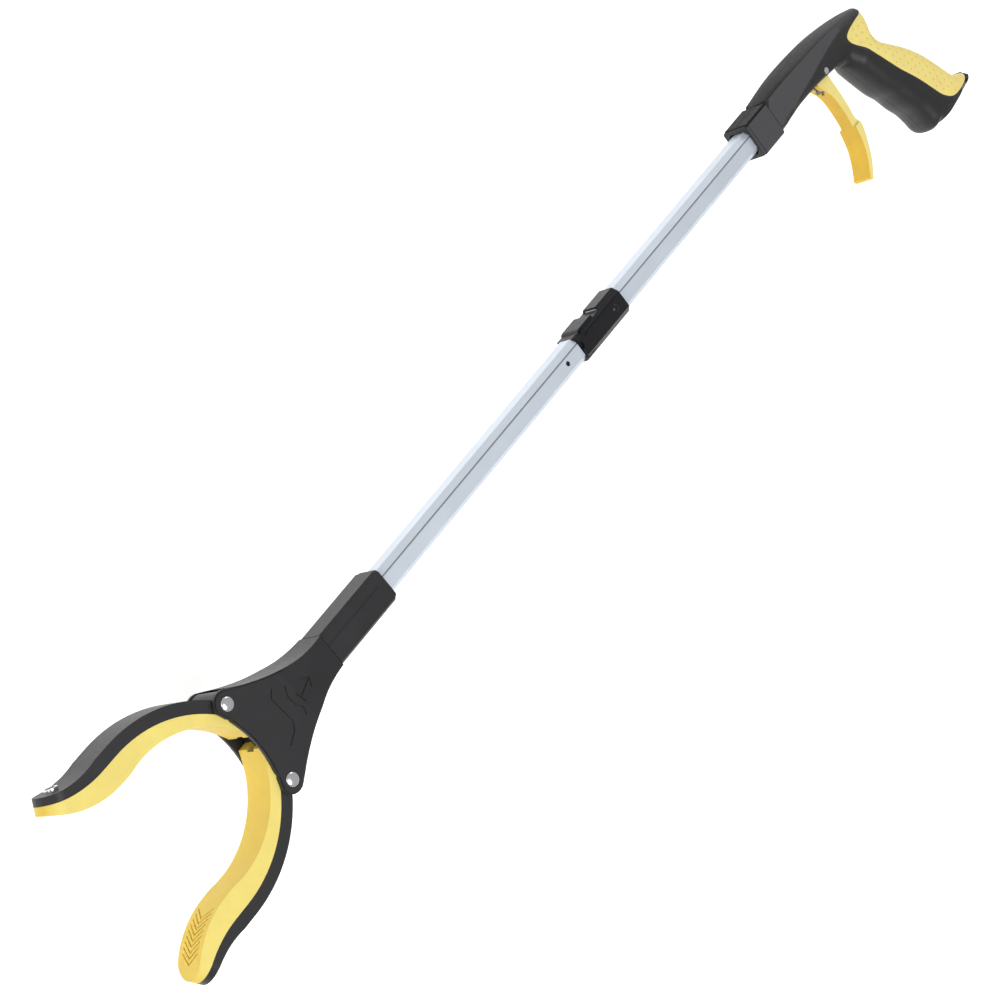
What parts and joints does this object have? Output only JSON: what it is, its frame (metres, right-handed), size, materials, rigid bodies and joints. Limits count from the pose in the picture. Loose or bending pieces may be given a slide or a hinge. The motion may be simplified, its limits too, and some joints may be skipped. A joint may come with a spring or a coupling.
{
  "type": "reacher grabber",
  "caption": "Long-reach pick-up tool: pistol handle with trigger, folding tube, swivelling head and lined jaws with a magnetic tip.",
  "frame": {"origin": "middle of the box round the unfolded tool, on the surface it lies on", "axes": "+X along the tube toward the jaws, +Y toward the trigger side, +Z toward the tool's left side, which faces up"},
  "size_m": [0.8096, 0.1566, 0.0314],
  "materials": {
    "black_shell": "satin moulded plastic",
    "black_joint": "satin moulded plastic",
    "pad_yellow": "soft dimpled rubber",
    "trigger_yellow": "smooth moulded plastic",
    "liner_yellow": "soft rubber",
    "tube_metal": "pale anodised aluminium",
    "bright_rivet": "polished",
    "steel": "drawn steel",
    "black_steel": "blackened steel",
    "magnet_dark": "sintered magnet"
  },
  "bodies": {
    "handle": {"handle_shell_left": "black_shell", "handle_shell_right": "black_shell", "handle_collar": "black_shell", "grip_pad": "pad_yellow", "handle_screw_front": "steel", "handle_screw_neck": "steel", "handle_screw_butt": "steel", "trigger_pin": "bright_rivet", "rear_tube": "tube_metal", "fold_sleeve": "black_joint", "sleeve_rivet": "black_steel", "fold_pin": "black_steel"},
    "trigger": {"trigger": "trigger_yellow"},
    "pull_rod": {"pull_rod_rear": "steel"},
    "front": {"fold_knuckle": "black_joint", "knuckle_rivet": "black_steel", "front_tube": "tube_metal", "head_collar": "black_shell", "swivel_bush": "black_joint"},
    "cable": {"pull_cable_front": "steel"},
    "head": {"head_shell_left": "black_shell", "head_shell_right": "black_shell", "head_screw_upper": "steel", "head_screw_lower": "steel", "jaw_rivet_upper": "bright_rivet", "jaw_rivet_lower": "bright_rivet", "return_spring": "steel"},
    "slider": {"pull_slider": "black_joint"},
    "upper_jaw": {"upper_jaw_arm": "black_shell", "upper_jaw_liner": "liner_yellow", "upper_drive_pin": "steel", "magnet_cup": "bright_rivet", "magnet": "magnet_dark"},
    "lower_jaw": {"lower_jaw_arm": "black_shell", "lower_jaw_liner": "liner_yellow", "lower_drive_pin": "steel"}
  },
  "joints": [
    {"name": "trigger_hinge", "type": "hinge", "parent": "handle", "child": "trigger", "pos_m": [-0.29675, -0.004, 0.0157], "axis": [0, 0, 1], "range_deg": [0, 30], "stiffness_Nm_per_rad": 0.3, "springref_deg": -11.46},
    {"name": "pull_rod_slide", "type": "slide", "parent": "handle", "child": "pull_rod", "axis": [-1, 0, 0], "range_m": [0, 0.00545]},
    {"name": "fold_hinge", "type": "hinge", "parent": "handle", "child": "front", "pos_m": [-0.02625, -0.0151, 0.0157], "axis": [0, 0, -1], "range_deg": [0, 163]},
    {"name": "cable_slide", "type": "slide", "parent": "front", "child": "cable", "axis": [-1, 0, 0], "range_m": [0, 0.00545]},
    {"name": "head_swivel", "type": "hinge", "parent": "front", "child": "head", "pos_m": [0.22975, -0.0096, 0.0157], "axis": [1, 0, 0], "range_deg": [-90, 90]},
    {"name": "slider_slide", "type": "slide", "parent": "head", "child": "slider", "axis": [-1, 0, 0], "range_m": [0, 0.00545], "deforming": ["return_spring"]},
    {"name": "upper_jaw_hinge", "type": "hinge", "parent": "head", "child": "upper_jaw", "pos_m": [0.29775, -0.0362, 0.0157], "axis": [0, 0, 1], "range_deg": [0, 28.05]},
    {"name": "lower_jaw_hinge", "type": "hinge", "parent": "head", "child": "lower_jaw", "pos_m": [0.29775, 0.017, 0.0157], "axis": [0, 0, -1], "range_deg": [0, 28.05]}
  ],
  "couplings": [
    {"joint": "pull_rod_slide", "follows": "trigger_hinge", "m_per_rad": 0.010381},
    {"joint": "cable_slide", "follows": "trigger_hinge", "m_per_rad": 0.010381},
    {"joint": "slider_slide", "follows": "trigger_hinge", "m_per_rad": 0.010381},
    {"joint": "upper_jaw_hinge", "follows": "trigger_hinge", "ratio": 0.93333},
    {"joint": "lower_jaw_hinge", "follows": "trigger_hinge", "ratio": 0.93333}
  ]
}
